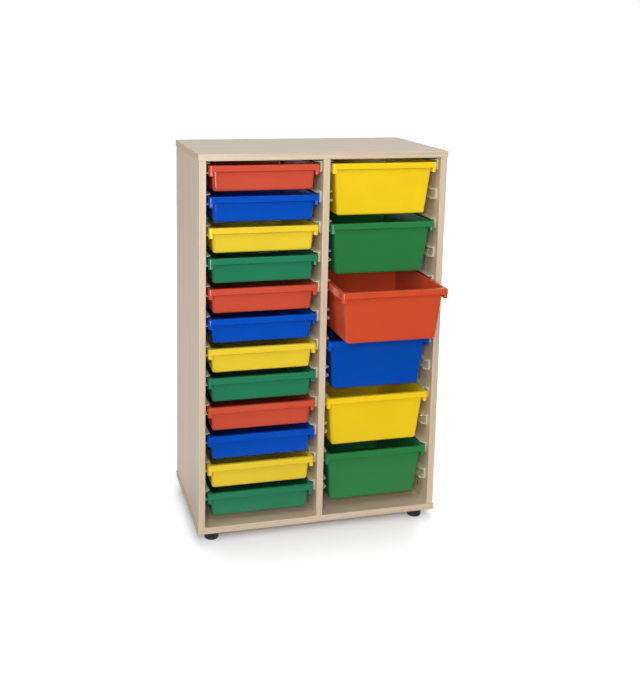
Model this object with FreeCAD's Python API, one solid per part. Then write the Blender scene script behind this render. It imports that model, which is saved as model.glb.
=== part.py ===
"""Classroom tray storage unit.

A melamine-faced cabinet stands on four feet. A divider splits it into two bays, and twelve pairs
of C-section runners line each bay. Twelve shallow trays fill the left bay and six deep trays the
right one; each tray hangs by its rim skirt in one pair of runners and slides out to the front.

Frame: +Z up, +X to the right seen from the front, +Y from front to back, millimetres. The origin
lies on the floor, in the middle of the width and midway between the drawn tray's lip and the
cabinet's rear edge.
"""
import FreeCAD, Part
import math
import os

from FreeCAD import Vector

# ---- cabinet ---------------------------------------------------------------------------------
WIDTH = 716.0                    # over the ends of the top and bottom panels
DEPTH = 395.0                    # front plane to rear edge
BODY_HEIGHT = 1082.0             # underside of the bottom panel to the top face
BOARD = 19.0                     # melamine-faced chipboard
OVERHANG = 2.3                   # top and bottom panels past the outer face of each side panel
UPRIGHT_SETBACK = 1.0            # side panels and divider behind the front plane
EDGING = 2.0                     # thickness of the edge strips
EDGING_ARRIS = 1.4               # rounding of their long outer edges

BACK_BOARD = 3.2                 # hardboard back
BACK_SETBACK = 7.5               # material left behind the groove that holds the back
GROOVE_WIDTH = 3.6
GROOVE_DEPTH = 7.0
BACK_TONGUE = 6.5                # how far the back stands in each groove

FOOT_HEIGHT = 30.0
FOOT_RADIUS = 21.0
FOOT_INSET_X = 46.0              # foot centre from the end of the bottom panel
FOOT_INSET_Y = 38.0              # foot centre from its front and rear edges

# ---- trays and runners -----------------------------------------------------------------------
LEVELS = 12
PITCH = 85.0                     # height from one runner level to the next
TOP_RIM = 1049.9                 # rim of the top trays above the underside of the bottom panel
TRAY_SETBACK = 5.0               # tray lip behind the cabinet's front plane when pushed home
DRAWN = 112.0                    # how far the fifth-level deep tray stands out at rest
DRAWN_LEVEL = 4                  # counted from 0 at the top
DEEP_LEVELS = range(0, LEVELS, 2)

TRAY_WIDTH = 312.0               # over the lower edge of the rim skirt
TRAY_LENGTH = 377.0
SHALLOW_HEIGHT = 72.5
DEEP_HEIGHT = 150.0
SHALLOW_BASE_INSET = 16.0        # base edge inside the rim outline
DEEP_BASE_INSET = 24.2
WALL = 2.2                       # moulded wall thickness
BODY_INSET = 10.4                # body wall inside the rim outline, just under the rim
BODY_CORNER = 10.0
BASE_EDGE = 7.0
LIP_DROP = 16.5                  # front and rear lip, from the rim's top face
SKIRT_DROP = 20.0                # side skirts, which ride on the runners
RIM_FLARE = 1.0                  # outward lean of the rim from its top to its lower edge
RIM_CORNER = 7.0
RIM_EDGE = 1.8
EAR_DROP = 29.0                  # corner tabs that stop against the runners' front ends
EAR_WIDTH = 13.2                 # tab's inner edge from the end of the rim
EAR_WRAP = 15.0                  # how far the tab's outer wing runs back
EAR_RIB = 24.0                   # how far its inner rib runs back, into the side of the tub
EAR_INSET = 1.2                  # wing's face inside the end of the rim
EAR_SETBACK = 1.2                # and how much deeper its front face lies
EAR_CORNERS = (6.6, 1.4)         # rounding of its upright corner, outside and inside
EAR_EDGE = 0.9                   # rounding of its lower outer edge
SKIRT_START = 16.5               # front end of the deep side skirts
SKIRT_RETURN = 4.7               # how far they turn round the rear corners

RUNNER_FRONT = 21.0              # runner's front end behind the front plane
RUNNER_BACK = 376.0
RUNNER_PLATE = 4.0
RUNNER_REACH = 17.0              # flange tips from the panel
RUNNER_TOP = 7.3                 # above the rim it carries
RUNNER_BOTTOM = -23.7
UPPER_FLANGE = (4.3, 6.3)        # lower and upper face, from the rim
LOWER_FLANGE = (-22.5, -20.3)
RUNNER_LIP = (2.0, 3.0)          # thickness and height of the upturned edge
LEAD_IN = 7.0                    # chamfer of the flange tips at the front end

# ---- fittings --------------------------------------------------------------------------------
RUNNER_SCREW_Y = (58.0, 338.0)   # behind the front plane
RUNNER_SCREW_DROP = 9.0          # below the rim
RUNNER_SCREW_LENGTH = 12.0
RUNNER_SCREW_HEAD = (3.4, 1.9)   # radius and height
RUNNER_SCREW_SHANK = 1.7

CAM_Y = (77.0, 318.0)            # behind the front plane
CAM_FROM_END = 34.0              # cam centre from the end of its upright
CAM_RADIUS = 7.5
CAM_BORE_DEPTH = 14.0
CAM_HEIGHT = 13.0
BOLT_RADIUS = 3.5
BOLT_THREAD = (2.5, 11.0)        # radius and length screwed into the top or bottom panel
DOWEL_OFFSET = 32.0              # dowel from its cam bolt, towards the middle of the panel
DOWEL_RADIUS = 4.0
DOWEL_IN_PANEL = 12.0
DOWEL_IN_UPRIGHT = 18.0

# ---- derived places --------------------------------------------------------------------------
FRONT = -(DEPTH - (DRAWN - TRAY_SETBACK)) / 2.0      # the cabinet's front plane
REAR = FRONT + DEPTH
FLOOR_GAP = FOOT_HEIGHT
TOP = FLOOR_GAP + BODY_HEIGHT
UNDER_TOP = TOP - BOARD
BASE_TOP = FLOOR_GAP + BOARD
SIDE_FACE = WIDTH / 2.0 - OVERHANG                   # outer face of a side panel
BAY_EDGE = SIDE_FACE - BOARD                         # its inner face
BAY_WIDTH = BAY_EDGE - BOARD / 2.0
BAY_CENTRE = BOARD / 2.0 + BAY_WIDTH / 2.0           # plus or minus, for the two bays
GROOVE_BACK = REAR - BACK_SETBACK
RIM_Z = [FLOOR_GAP + TOP_RIM - PITCH * level for level in range(LEVELS)]


def block(x, y, z):
    """Box between pairs of coordinates."""
    size = [high - low for low, high in (x, y, z)]
    return Part.makeBox(size[0], size[1], size[2], Vector(x[0], y[0], z[0]))


def rod(radius, length, start, direction):
    """Cylinder from a point along a direction."""
    return Part.makeCylinder(radius, length, start, direction)


def one_solid(shape):
    """The shape's single solid, with split faces merged."""
    merged = shape.removeSplitter()
    if len(merged.Solids) != 1:
        raise ValueError("expected one solid, found %d" % len(merged.Solids))
    return merged.Solids[0]


def export(node, solids):
    """Write one node's solids to its STEP file."""
    shape = solids[0] if len(solids) == 1 else Part.makeCompound(solids)
    shape.exportStep("parts/%s.step" % node)


# ---- cabinet panels --------------------------------------------------------------------------
def back_groove(x, z):
    """Slot for the back board, cut to the groove depth past the given opening edges."""
    return block(x, (GROOVE_BACK - GROOVE_WIDTH, GROOVE_BACK), z)


def upright_places():
    """Centre line and cam-face direction of the left side, the divider and the right side."""
    side = SIDE_FACE - BOARD / 2.0
    return [(-side, 1), (0.0, -1), (side, -1)]


def joint_places():
    """Each cam joint: upright centre, cam-face direction, y, end height and inward direction."""
    return [(x, face, FRONT + y, end, inward)
            for x, face in upright_places()
            for y in CAM_Y
            for end, inward in ((UNDER_TOP, -1), (BASE_TOP, 1))]


def dowel_y(y):
    """Dowel position beside a cam bolt, nearer the middle of the depth."""
    middle = FRONT + DEPTH / 2.0
    return y + math.copysign(DOWEL_OFFSET, middle - y)


def panel_bores(end, inward):
    """Blind bores in the top or bottom panel: bolt threads and dowels."""
    bores = []
    for x, _, y, joint_end, _ in joint_places():
        if joint_end == end:
            outward = Vector(0, 0, -inward)
            bores.append(rod(BOLT_THREAD[0], BOLT_THREAD[1], Vector(x, y, end), outward))
            bores.append(rod(DOWEL_RADIUS, DOWEL_IN_PANEL, Vector(x, dowel_y(y), end), outward))
    return bores


def horizontal_panel(low, high, end, inward):
    """Top or bottom panel, less its edge strips, grooved for the back and bored for the joints."""
    half = WIDTH / 2.0 - EDGING
    panel = block((-half, half), (FRONT + EDGING, REAR), (low, high))
    slot_z = sorted((end, end - inward * GROOVE_DEPTH))
    groove = back_groove((-BAY_EDGE - GROOVE_DEPTH, BAY_EDGE + GROOVE_DEPTH), slot_z)
    return one_solid(panel.cut([groove] + panel_bores(end, inward)))


def upright_bores(centre):
    """Cam, bolt and dowel bores of the upright on the given centre line."""
    bores = []
    for x, face, y, end, inward in joint_places():
        if x != centre:
            continue
        cam_z = end + inward * CAM_FROM_END
        surface = x + face * BOARD / 2.0
        up = Vector(0, 0, inward)
        bores.append(rod(CAM_RADIUS, CAM_BORE_DEPTH, Vector(surface, y, cam_z), Vector(-face, 0, 0)))
        bores.append(rod(BOLT_RADIUS, CAM_FROM_END, Vector(x, y, end), up))
        bores.append(rod(DOWEL_RADIUS, DOWEL_IN_UPRIGHT, Vector(x, dowel_y(y), end), up))
    return bores


def side_panel(centre):
    """Side panel, less its front strip, with the back groove on its inner face."""
    panel = block((centre - BOARD / 2.0, centre + BOARD / 2.0),
                  (FRONT + UPRIGHT_SETBACK + EDGING, REAR), (BASE_TOP, UNDER_TOP))
    inner = math.copysign(BAY_EDGE, centre)
    slot_x = sorted((inner, inner + math.copysign(GROOVE_DEPTH, centre)))
    groove = back_groove(slot_x, (BASE_TOP, UNDER_TOP))
    return one_solid(panel.cut([groove] + upright_bores(centre)))


def divider():
    """Centre divider, which ends at the front face of the back."""
    panel = block((-BOARD / 2.0, BOARD / 2.0),
                  (FRONT + UPRIGHT_SETBACK + EDGING, GROOVE_BACK - GROOVE_WIDTH),
                  (BASE_TOP, UNDER_TOP))
    return one_solid(panel.cut(upright_bores(0.0)))


def back_panel():
    """One hardboard sheet, standing in the grooves on all four sides."""
    rear = GROOVE_BACK - (GROOVE_WIDTH - BACK_BOARD) / 2.0
    edge = BAY_EDGE + BACK_TONGUE
    return block((-edge, edge), (rear - BACK_BOARD, rear),
                 (BASE_TOP - BACK_TONGUE, UNDER_TOP + BACK_TONGUE))


def edge_strip(start, along, across, outward, length):
    """Strip with its two outer long edges rounded, swept along a panel edge.

    start is the strip's first inner corner; across spans the board's thickness.
    """
    a, e = EDGING_ARRIS, EDGING
    bend = a * (1.0 - math.sqrt(0.5))
    at = [(0, 0), (0, e - a), (bend, e - bend), (a, e), (BOARD - a, e),
          (BOARD - bend, e - bend), (BOARD, e - a), (BOARD, 0)]
    p = [start + across * u + outward * v for u, v in at]
    edges = [Part.LineSegment(p[0], p[1]), Part.Arc(p[1], p[2], p[3]),
             Part.LineSegment(p[3], p[4]), Part.Arc(p[4], p[5], p[6]),
             Part.LineSegment(p[6], p[7]), Part.LineSegment(p[7], p[0])]
    face = Part.Face(Part.Wire([edge.toShape() for edge in edges]))
    return face.extrude(along * length)


def panel_edging(low):
    """Front and end strips of the top or bottom panel whose underside is at the given height."""
    half = WIDTH / 2.0
    up, left, back = Vector(0, 0, 1), Vector(-1, 0, 0), Vector(0, 1, 0)
    front = edge_strip(Vector(-half, FRONT + EDGING, low), -left, up, -back, WIDTH)
    run = DEPTH - EDGING
    ends = [edge_strip(Vector(side * (half - EDGING), FRONT + EDGING, low), back, up,
                       Vector(side, 0, 0), run) for side in (-1, 1)]
    return [front] + ends


def upright_edging():
    """Front strips of the two sides and the divider."""
    y = FRONT + UPRIGHT_SETBACK + EDGING
    return [edge_strip(Vector(x - BOARD / 2.0, y, BASE_TOP), Vector(0, 0, 1), Vector(1, 0, 0),
                       Vector(0, -1, 0), UNDER_TOP - BASE_TOP) for x, _ in upright_places()]


# ---- trays -----------------------------------------------------------------------------------
def frustum(low_z, low_inset, high_z, high_inset):
    """Flat-walled tapering block on the tray outline, each end inset by its own amount.

    The tray outline is centred in x, starts at y = 0 and has the rim's top face at z = 0.
    """
    def corners(z, inset):
        x, near, far = TRAY_WIDTH / 2.0 - inset, inset, TRAY_LENGTH - inset
        return [Vector(-x, near, z), Vector(x, near, z), Vector(x, far, z), Vector(-x, far, z)]

    low, high = corners(low_z, low_inset), corners(high_z, high_inset)
    loops = [low[::-1], high]
    for i in range(4):
        j = (i + 1) % 4
        loops.append([low[i], low[j], high[j], high[i]])
    shell = Part.makeShell([Part.Face(Part.makePolygon(loop + loop[:1])) for loop in loops])
    shell.sewShape()
    return Part.makeSolid(shell)


def upright_edges(shape):
    """Edges that run from one end of a frustum to the other."""
    return [e for e in shape.Edges
            if abs(e.Vertexes[0].Z - e.Vertexes[1].Z) > 1.0]


def level_edges(shape, z):
    """Edges that lie at one height."""
    return [e for e in shape.Edges if all(abs(v.Z - z) < 1e-6 for v in e.Vertexes)]


def tray_body(height, base_inset):
    """Outside of the tapering tub, filled, from its rounded base up into the rim plate."""
    tub = frustum(-height, base_inset, -WALL / 2.0, BODY_INSET)
    tub = tub.makeFillet(BODY_CORNER, upright_edges(tub))
    return tub.makeFillet(BASE_EDGE, level_edges(tub, -height))


def tray_cavity(height, base_inset):
    """Space inside the tub, open at the top."""
    slope = (base_inset - BODY_INSET) / (height - WALL / 2.0)
    over = 2.0 * WALL
    top_inset = BODY_INSET + WALL - slope * (over + WALL / 2.0)
    low = -height + WALL
    low_inset = BODY_INSET + WALL + slope * (height - 1.5 * WALL)
    tub = frustum(low, low_inset, over, top_inset)
    tub = tub.makeFillet(BODY_CORNER - WALL, upright_edges(tub))
    return tub.makeFillet(BASE_EDGE - WALL, level_edges(tub, low))


def rim_block(inset, top, bottom):
    """Filled block inside the leaning rim, between two heights."""
    def lean(z):
        return inset + RIM_FLARE * (SKIRT_DROP + z) / SKIRT_DROP

    shape = frustum(bottom, lean(bottom), top, lean(top))
    return shape.makeFillet(RIM_CORNER - inset, upright_edges(shape))


def tray_rim():
    """Rim plate with its skirt: deep along the sides, shallower along the front and rear lips."""
    outer = rim_block(0.0, 0.0, -SKIRT_DROP)
    outer = outer.makeFillet(RIM_EDGE, level_edges(outer, 0.0))
    hollow = rim_block(WALL, -WALL, -SKIRT_DROP - 1.0)
    half, over = TRAY_WIDTH / 2.0, 1.0
    rear = TRAY_LENGTH - RIM_CORNER - WALL
    gaps = [block((-reach, reach), (near, far), (-SKIRT_DROP - over, -LIP_DROP))
            for near, far, reach in ((-over, SKIRT_START, half + over),
                                     (rear, TRAY_LENGTH + over, half - SKIRT_RETURN))]
    return outer.cut([hollow] + gaps)


def upright_block(inset, corner, top, bottom):
    """Filled block with upright sides inside the tray outline, between two heights."""
    shape = frustum(bottom, inset, top, inset)
    return shape.makeFillet(corner, upright_edges(shape))


def tray_ears():
    """Two tabs under the front corners of the lip, each a front face between a wing and a rib."""
    top, inner = -WALL / 2.0, TRAY_WIDTH / 2.0 - EAR_WIDTH
    outer = upright_block(EAR_INSET, EAR_CORNERS[0], top, -EAR_DROP)
    outer = outer.makeFillet(EAR_EDGE, level_edges(outer, -EAR_DROP))
    shell = outer.cut(upright_block(EAR_INSET + WALL, EAR_CORNERS[1], 0.0, -EAR_DROP - 1.0))
    shell = shell.translated(Vector(0, EAR_SETBACK, 0))
    wing = shell.common(block((inner, TRAY_WIDTH / 2.0), (0.0, EAR_WRAP), (-EAR_DROP, top)))
    face = EAR_INSET + EAR_SETBACK
    rib = block((inner, inner + WALL), (face + 0.8 * WALL, EAR_RIB), (-EAR_DROP, top))
    right = wing.fuse(rib)
    return [right, right.mirror(Vector(0, 0, 0), Vector(1, 0, 0))]


def tray(height, base_inset):
    """Whole tray: tub, rim, skirt and ears in one moulding."""
    filled = tray_body(height, base_inset).fuse([tray_rim()] + tray_ears())
    return one_solid(filled.cut(tray_cavity(height, base_inset)))


# ---- runners ---------------------------------------------------------------------------------
def runner(wall_x, inward, rim_z):
    """C-section runner on a wall; its flanges reach into the bay, the lower one with a lip."""
    thick, rise = RUNNER_LIP
    profile = [(0.0, RUNNER_BOTTOM), (RUNNER_PLATE, RUNNER_BOTTOM),
               (RUNNER_PLATE, LOWER_FLANGE[0]), (RUNNER_REACH, LOWER_FLANGE[0]),
               (RUNNER_REACH, LOWER_FLANGE[1] + rise), (RUNNER_REACH - thick, LOWER_FLANGE[1] + rise),
               (RUNNER_REACH - thick, LOWER_FLANGE[1]), (RUNNER_PLATE, LOWER_FLANGE[1]),
               (RUNNER_PLATE, UPPER_FLANGE[0]), (RUNNER_REACH, UPPER_FLANGE[0]),
               (RUNNER_REACH, UPPER_FLANGE[1]), (RUNNER_PLATE, UPPER_FLANGE[1]),
               (RUNNER_PLATE, RUNNER_TOP), (0.0, RUNNER_TOP)]
    y = FRONT + RUNNER_FRONT
    points = [Vector(wall_x + inward * u, y, rim_z + v) for u, v in profile]
    bar = Part.Face(Part.makePolygon(points + points[:1])).extrude(
        Vector(0, RUNNER_BACK - RUNNER_FRONT, 0))
    tip = wall_x + inward * RUNNER_REACH
    wedge = [Vector(tip, y, rim_z - PITCH / 2.0), Vector(tip, y + LEAD_IN, rim_z - PITCH / 2.0),
             Vector(tip - inward * LEAD_IN, y, rim_z - PITCH / 2.0)]
    lead = Part.Face(Part.makePolygon(wedge + wedge[:1])).extrude(Vector(0, 0, PITCH))
    holes = [rod(RUNNER_SCREW_SHANK, RUNNER_PLATE, place, Vector(inward, 0, 0))
             for place in screw_places(wall_x, rim_z)]
    return one_solid(bar.cut([lead] + holes))


def screw_places(wall_x, rim_z):
    """Where one runner's screws enter its wall."""
    return [Vector(wall_x, FRONT + y, rim_z - RUNNER_SCREW_DROP) for y in RUNNER_SCREW_Y]


def bay_walls(side):
    """Inner wall positions of a bay and the direction into it; side is -1 for the left bay."""
    near, far = side * BOARD / 2.0, side * BAY_EDGE
    return [(near, side), (far, -side)]


# ---- feet and fittings -----------------------------------------------------------------------
def turned(profile, start, axis):
    """Solid of revolution; profile lists (radius, height) from the axis round to the axis."""
    points = [Vector(r, 0, h) for r, h in profile]
    face = Part.Face(Part.makePolygon(points + points[:1]))
    solid = face.revolve(Vector(0, 0, 0), Vector(0, 0, 1), 360.0)
    solid.Placement = FreeCAD.Placement(start, FreeCAD.Rotation(Vector(0, 0, 1), axis))
    return solid


def foot(x, y):
    """Round plastic foot with a rounded tread edge and a deep recess for its screw."""
    flange, tread, recess, screw_seat, hole = 21.0, 17.5, 8.0, 12.0, 2.6
    profile = [Vector(hole, 0, screw_seat), Vector(recess, 0, screw_seat), Vector(recess, 0, 0),
               Vector(tread - 2.0, 0, 0), Vector(tread + 1.6, 0, 1.4), Vector(FOOT_RADIUS - 0.6, 0, 6.0),
               Vector(flange, 0, FOOT_HEIGHT), Vector(hole, 0, FOOT_HEIGHT)]
    edges = [Part.LineSegment(profile[0], profile[1]), Part.LineSegment(profile[1], profile[2]),
             Part.LineSegment(profile[2], profile[3]),
             Part.Arc(profile[3], profile[4], profile[5]),
             Part.LineSegment(profile[5], profile[6]), Part.LineSegment(profile[6], profile[7]),
             Part.LineSegment(profile[7], profile[0])]
    face = Part.Face(Part.Wire([edge.toShape() for edge in edges]))
    solid = face.revolve(Vector(0, 0, 0), Vector(0, 0, 1), 360.0)
    solid.translate(Vector(x, y, 0))
    return solid


def foot_places():
    """Foot names with their centres."""
    x = WIDTH / 2.0 - FOOT_INSET_X
    near, far = FRONT + FOOT_INSET_Y, REAR - FOOT_INSET_Y
    return {"foot_front_left": (-x, near), "foot_front_right": (x, near),
            "foot_rear_left": (-x, far), "foot_rear_right": (x, far)}


def foot_screw(x, y):
    """Pan-head screw from the foot's recess up into the bottom panel."""
    seat, head, shank, bite = 12.0, (4.5, 3.0), 2.6, 14.0
    length = FOOT_HEIGHT - seat + bite
    return turned([(0, 0), (head[0], 0), (head[0], head[1]), (shank, head[1]),
                   (shank, head[1] + length), (0, head[1] + length)],
                  Vector(x, y, seat - head[1]), Vector(0, 0, 1))


def runner_screw(place, inward):
    """Pan-head screw through a runner's plate into the panel behind it."""
    radius, height = RUNNER_SCREW_HEAD
    length = RUNNER_SCREW_LENGTH + height
    return turned([(0, 0), (radius, 0), (radius, height), (RUNNER_SCREW_SHANK, height),
                   (RUNNER_SCREW_SHANK, length), (0, length)],
                  place + Vector(inward * (RUNNER_PLATE + height), 0, 0), Vector(-inward, 0, 0))


def cam(x, face, y, cam_z):
    """Zinc cam housing with a cross slot in its face and a notch for the bolt's neck."""
    slot = (1.2, 4.5, 2.5)
    recess = 0.5
    surface = x + face * (BOARD / 2.0 - recess)
    body = rod(CAM_RADIUS - 0.05, CAM_HEIGHT, Vector(surface, y, cam_z), Vector(-face, 0, 0))
    depth = sorted((surface, surface - face * slot[2]))
    cross = [block(depth, (y - a, y + a), (cam_z - b, cam_z + b))
             for a, b in ((slot[1], slot[0] / 2.0), (slot[0] / 2.0, slot[1]))]
    return one_solid(body.cut(cross))


def cam_bolt(x, y, end, inward):
    """Steel bolt screwed into the top or bottom panel, ending at the cam housing."""
    radius, thread = BOLT_THREAD
    shank = CAM_FROM_END - CAM_RADIUS
    return turned([(0, 0), (radius, 0), (radius, thread), (BOLT_RADIUS, thread),
                   (BOLT_RADIUS, thread + shank), (0, thread + shank)],
                  Vector(x, y, end - inward * thread), Vector(0, 0, inward))


def dowel(x, y, end, inward):
    """Beech dowel across one joint."""
    return rod(DOWEL_RADIUS, DOWEL_IN_PANEL + DOWEL_IN_UPRIGHT,
               Vector(x, dowel_y(y), end - inward * DOWEL_IN_PANEL), Vector(0, 0, inward))


# ---- assembly --------------------------------------------------------------------------------
def write_cabinet():
    """Panels, edge strips, back and feet."""
    side = SIDE_FACE - BOARD / 2.0
    export("top_panel", [horizontal_panel(UNDER_TOP, TOP, UNDER_TOP, -1)])
    export("left_side_panel", [side_panel(-side)])
    export("right_side_panel", [side_panel(side)])
    export("centre_divider", [divider()])
    export("back_panel", [back_panel()])
    export("top_panel_edging", panel_edging(UNDER_TOP))
    export("bottom_panel_edging", panel_edging(FLOOR_GAP))
    export("upright_edging", upright_edging())
    screws = [foot_screw(x, y) for x, y in foot_places().values()]
    export("foot_screws", screws)
    bottom = horizontal_panel(FLOOR_GAP, BASE_TOP, BASE_TOP, 1)
    export("bottom_panel", [one_solid(bottom.cut(screws))])
    for name, (x, y) in foot_places().items():
        export(name, [foot(x, y)])


def write_fittings():
    """Cams, bolts and dowels of the twelve carcass joints."""
    joints = joint_places()
    export("cam_housings", [cam(x, face, y, end + inward * CAM_FROM_END)
                            for x, face, y, end, inward in joints])
    export("cam_bolts", [cam_bolt(x, y, end, inward) for x, _, y, end, inward in joints])
    export("dowels", [dowel(x, y, end, inward) for x, _, y, end, inward in joints])


def write_runners():
    """One node for each pair of runners, and one for all their screws."""
    screws = []
    for bay, side in (("left", -1), ("right", 1)):
        for level, rim_z in enumerate(RIM_Z):
            pair = [runner(wall, inward, rim_z) for wall, inward in bay_walls(side)]
            export("%s_bay_runners_%02d" % (bay, level + 1), pair)
            screws += [runner_screw(place, inward) for wall, inward in bay_walls(side)
                       for place in screw_places(wall, rim_z)]
    export("runner_screws", screws)


def write_trays():
    """Twelve shallow trays on the left, six deep trays on the right, one of them drawn out."""
    home = FRONT + TRAY_SETBACK
    shallow = tray(SHALLOW_HEIGHT, SHALLOW_BASE_INSET)
    for level, rim_z in enumerate(RIM_Z):
        export("shallow_tray_%02d" % (level + 1),
               [shallow.translated(Vector(-BAY_CENTRE, home, rim_z))])
    deep = tray(DEEP_HEIGHT, DEEP_BASE_INSET)
    for number, level in enumerate(DEEP_LEVELS):
        y = home - DRAWN if level == DRAWN_LEVEL else home
        export("deep_tray_%02d" % (number + 1),
               [deep.translated(Vector(BAY_CENTRE, y, RIM_Z[level]))])


os.makedirs("parts", exist_ok=True)
write_cabinet()
write_fittings()
write_runners()
write_trays()
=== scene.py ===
"""The finish of a classroom tray storage unit, piece by piece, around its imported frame.

The cabinet's boards, strips, back, feet and fittings keep the frame's own solids and get their
finish here. The runners, their screws and the eighteen trays are modelled again as smooth
surfaces. The scene is in metres, in the frame's coordinates: X to the right, Y to the back and
Z up. Sizes of pieces are written in millimetres and scaled once, in the mesh.
"""

import math

import bpy
import numpy as np
from mathutils import Matrix, Vector


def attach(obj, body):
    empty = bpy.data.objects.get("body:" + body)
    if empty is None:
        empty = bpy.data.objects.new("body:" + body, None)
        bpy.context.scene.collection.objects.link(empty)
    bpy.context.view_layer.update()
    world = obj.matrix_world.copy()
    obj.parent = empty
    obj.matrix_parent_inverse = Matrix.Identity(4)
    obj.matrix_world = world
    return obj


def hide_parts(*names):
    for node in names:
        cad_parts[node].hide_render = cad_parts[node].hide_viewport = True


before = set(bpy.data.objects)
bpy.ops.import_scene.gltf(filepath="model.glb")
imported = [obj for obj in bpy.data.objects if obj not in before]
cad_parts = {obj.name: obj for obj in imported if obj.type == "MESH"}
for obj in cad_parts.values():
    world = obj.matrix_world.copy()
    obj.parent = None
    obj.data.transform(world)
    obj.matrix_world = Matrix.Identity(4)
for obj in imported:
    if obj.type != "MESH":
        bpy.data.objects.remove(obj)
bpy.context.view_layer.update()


# ---- Cabinet boards --------------------------------------------------------------------------
# Chipboard, 19 mm thick, under a pale beech-pattern melamine paper: a printed grain below a
# hard satin resin, running up the sides and divider and along the top and bottom. Fibres and
# pores are drawn about five times as wide as a real print's, so that they show.

MM = 0.001
BOARD = [(0.38, "#CCB89C"), (0.46, "#D2BDA3"), (0.54, "#D7C2A7"), (0.62, "#DBC7AC")]
PORE_BROWN = "#B8A284"


def linear(code):
    """sRGB hex to linear RGBA: c / 12.92 up to 0.04045, else ((c + 0.055) / 1.055) ^ 2.4."""
    c = np.array([int(code[i:i + 2], 16) for i in (1, 3, 5)]) / 255.0
    c = np.where(c <= 0.04045, c / 12.92, ((c + 0.055) / 1.055) ** 2.4)
    return (*c.tolist(), 1.0)


def add(tree, kind, inputs=None, stops=None, **settings):
    """Adds a node with its properties. Each input, by name or number, gets a link from another
    node's output, a hex colour or a plain value. A colour ramp gets (place, colour) stops."""
    node = tree.nodes.new(kind)
    for name, value in settings.items():
        setattr(node, name, value)
    for name, value in (inputs or {}).items():
        if isinstance(value, bpy.types.NodeSocket):
            tree.links.new(value, node.inputs[name])
        else:
            node.inputs[name].default_value = linear(value) if isinstance(value, str) else value
    if stops:
        elements = node.color_ramp.elements
        elements[0].position, elements[-1].position = stops[0][0], stops[-1][0]
        for place, _ in stops[1:-1]:
            elements.new(place)
        for element, (_, colour) in zip(elements, stops):
            element.color = linear(colour) if isinstance(colour, str) else colour
    return node


def new_material(name, **shader):
    """A material with one Principled shader; each keyword is a fixed value for its socket. The
    last of the four results is the place on the piece, in metres."""
    mat = bpy.data.materials.new(name)
    mat.use_nodes = True
    tree = mat.node_tree
    tree.nodes.clear()
    bsdf = add(tree, "ShaderNodeBsdfPrincipled",
               {key.replace("_", " "): value for key, value in shader.items()})
    add(tree, "ShaderNodeOutputMaterial", {"Surface": bsdf.outputs["BSDF"]})
    return mat, tree, bsdf, add(tree, "ShaderNodeTexCoord").outputs["Object"]


def drawn_noise(tree, place, size, detail=2.0, seed=0.0):
    """Noise with cells of `size` = (x, y, z) millimetres; a long side draws it into a grain."""
    spread = add(tree, "ShaderNodeMapping", {"Vector": place, "Location": [seed] * 3,
                                             "Scale": [1.0 / (s * MM) for s in size]})
    noise = add(tree, "ShaderNodeTexNoise", {"Vector": spread.outputs["Vector"], "Scale": 1.0,
                                             "Detail": detail, "Roughness": 0.55})
    return noise.outputs["Fac"]


def along(axis, across, run):
    """Cell size that is `run` long on one axis and `across` wide on the other two."""
    return [run if i == axis else across for i in range(3)]


def weighted(tree, parts, base=0.0):
    """Base plus the sum of weight x value over (weight, value) pairs."""
    total = base
    for weight, value in parts:
        total = add(tree, "ShaderNodeMath", {0: value, 1: weight, 2: total},
                    operation="MULTIPLY_ADD").outputs[0]
    return total


def beech_print(tree, place, axis, seed, stops=BOARD):
    """Printed beech along an axis, as its colour and its fibre: a quarter bands, 26 mm wide,
    about half growth lines, 5 mm, and the rest fibre, 1.2 mm, with pores of 0.6 x 5 mm."""
    bands = drawn_noise(tree, place, along(axis, 26, 900), 1.0, seed)
    lines = drawn_noise(tree, place, along(axis, 5, 420), 3.0, seed + 7)
    fibre = drawn_noise(tree, place, along(axis, 1.2, 55), 2.0, seed + 13)
    grain = weighted(tree, [(0.25, bands), (0.55, lines), (0.20, fibre)])
    wood = add(tree, "ShaderNodeValToRGB", {"Fac": grain}, stops=stops).outputs["Color"]
    specks = drawn_noise(tree, place, along(axis, 0.6, 5), 1.0, seed + 29)
    pores = add(tree, "ShaderNodeMapRange", {"Value": specks, "From Min": 0.63,
                                             "From Max": 0.74, "To Max": 0.3}).outputs[0]
    colour = add(tree, "ShaderNodeMix", {0: pores, 6: wood, 7: PORE_BROWN}, data_type="RGBA")
    return colour.outputs[2], fibre


def melamine(name, axis, seed):
    """Satin resin over the print, with the fine drawn structure that the press plate leaves."""
    mat, tree, bsdf, place = new_material(name, Roughness=0.3, IOR=1.5)
    colour, fibre = beech_print(tree, place, axis, seed)
    relief = add(tree, "ShaderNodeBump", {"Height": fibre, "Distance": 0.06 * MM,
                                          "Strength": 0.35})
    tree.links.new(colour, bsdf.inputs["Base Color"])
    tree.links.new(relief.outputs["Normal"], bsdf.inputs["Normal"])
    return mat


def finish(mat, *nodes):
    """Gives frame nodes one material in every slot."""
    for node in nodes:
        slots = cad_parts[node].data.materials
        slots.clear()
        slots.append(mat)


finish(melamine("melamine_beech_upright", 2, 1.3),
       "left_side_panel", "right_side_panel", "centre_divider")
finish(melamine("melamine_beech_level", 0, 5.1), "top_panel", "bottom_panel")


# ---- Edge strips -----------------------------------------------------------------------------
# ABS strip, 2 mm thick, glued to the visible board edges with its long arrises rounded over.
# It carries the same beech print along its length; the end strips are painted darker and
# browner than the front ones, a painted shade of the side-facing ends.

STRIP = [(0.38, "#CBBBA6"), (0.46, "#D5C6B0"), (0.54, "#DBCCB7"), (0.62, "#E2D3BF")]
# painted shade: the end strips' tones are darker and browner than the front strips'
SHADED_END_STRIP = [(0.38, "#BFAA85"), (0.46, "#C9B58F"), (0.54, "#D0BC97"), (0.62, "#D6C39F")]
STRIP_FRONT = -142.0        # the front strips lie before this y, the end strips behind it


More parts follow.
